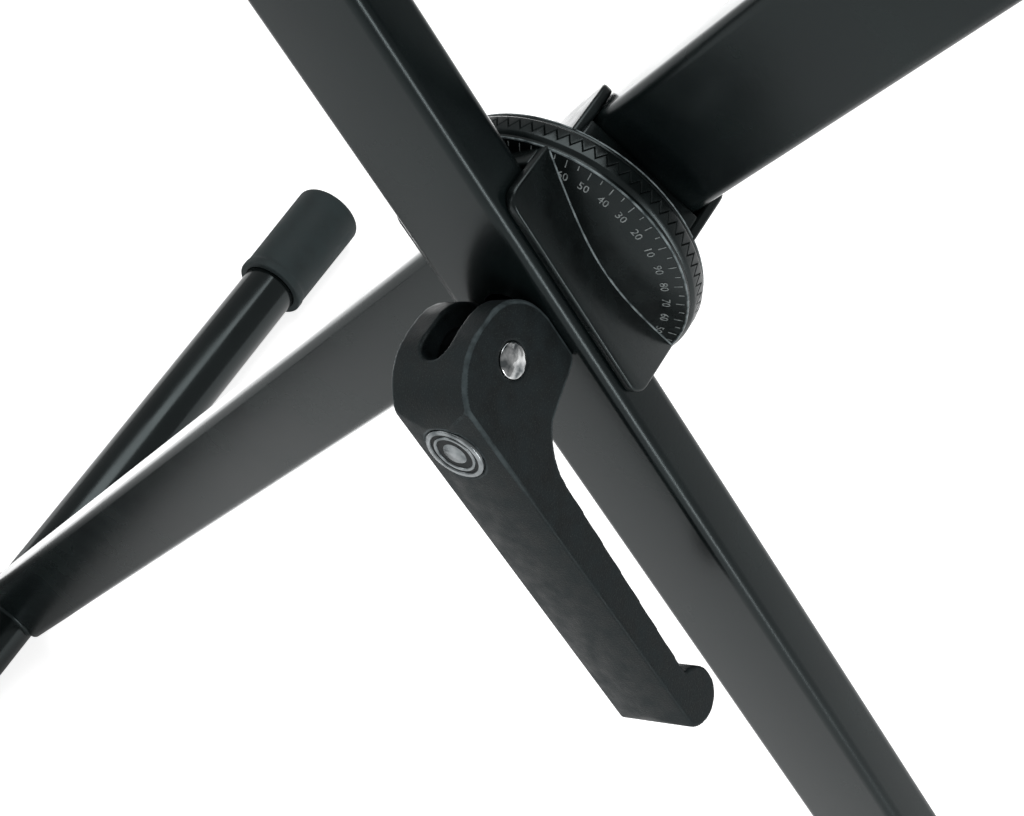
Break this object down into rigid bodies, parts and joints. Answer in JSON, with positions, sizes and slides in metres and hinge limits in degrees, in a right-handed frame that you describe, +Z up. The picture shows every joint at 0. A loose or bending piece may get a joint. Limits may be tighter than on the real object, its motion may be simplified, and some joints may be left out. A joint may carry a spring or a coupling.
{
  "type": "folding keyboard stand",
  "caption": "Folding X-frame keyboard stand: crossed flat-tube legs on round cross bars, toothed lock discs at the crossing, a cam lever, and rubber feet and rests.",
  "frame": {"origin": "on the floor under the crossing of the legs, midway between the two leg tubes", "axes": "+Z up, +Y along the pivot from the player's side to the back, +X to the right as the player sees it"},
  "size_m": [0.5828, 0.541, 0.8566],
  "materials": {
    "leg_paint": "satin powder coat",
    "bar_paint": "glossy powder coat",
    "cap_rubber": "matte moulded rubber",
    "sleeve_rubber": "soft matte rubber",
    "disc_plastic": "glossy moulded nylon with a plain printed scale",
    "lever_plastic": "grained glass-filled nylon",
    "badge_metal": "turned rings, bare",
    "pin_chrome": "bright chrome",
    "zinc_steel": "zinc plated"
  },
  "bodies": {
    "front_leg": {"front_leg_tube": "leg_paint", "front_leg_foot_bar": "bar_paint", "front_leg_rest_bar": "bar_paint", "right_foot_cap_front": "cap_rubber", "right_foot_cap_back": "cap_rubber", "left_rest_sleeve_front": "sleeve_rubber", "left_rest_sleeve_back": "sleeve_rubber", "left_rest_stop_cap": "cap_rubber", "left_rest_end_cap": "cap_rubber", "front_gear_disc": "disc_plastic", "front_spacer_sleeve": "zinc_steel", "opening_spring": "zinc_steel"},
    "rear_leg": {"rear_leg_tube": "leg_paint", "rear_leg_foot_bar": "bar_paint", "rear_leg_rest_bar": "bar_paint", "left_foot_cap_front": "cap_rubber", "left_foot_cap_back": "cap_rubber", "right_rest_sleeve_front": "sleeve_rubber", "right_rest_sleeve_back": "sleeve_rubber", "right_rest_stop_cap": "cap_rubber", "right_rest_end_cap": "cap_rubber", "rear_gear_disc": "disc_plastic", "rear_spacer_sleeve": "zinc_steel"},
    "tie_rod_set": {"tie_rod": "zinc_steel", "rear_washer": "zinc_steel", "lock_nut": "zinc_steel"},
    "lever": {"clamp_lever": "lever_plastic", "lever_pin": "pin_chrome", "lever_badge": "badge_metal"}
  },
  "joints": [
    {"name": "release", "type": "slide", "parent": "front_leg", "child": "tie_rod_set", "axis": [0, 1, 0], "range_m": [0, 0.003]},
    {"name": "fold", "type": "hinge", "parent": "tie_rod_set", "child": "rear_leg", "pos_m": [0, 0, 0.42531], "axis": [0, 1, 0], "range_deg": [-60, 30]},
    {"name": "lever_turn", "type": "hinge", "parent": "tie_rod_set", "child": "lever", "pos_m": [0, -0.03715, 0.42531], "axis": [-0.8353, 0, -0.5498], "range_deg": [0, 90]}
  ],
  "couplings": [
    {"joint": "lever_turn", "follows": "release", "rad_per_m": 523.59}
  ]
}
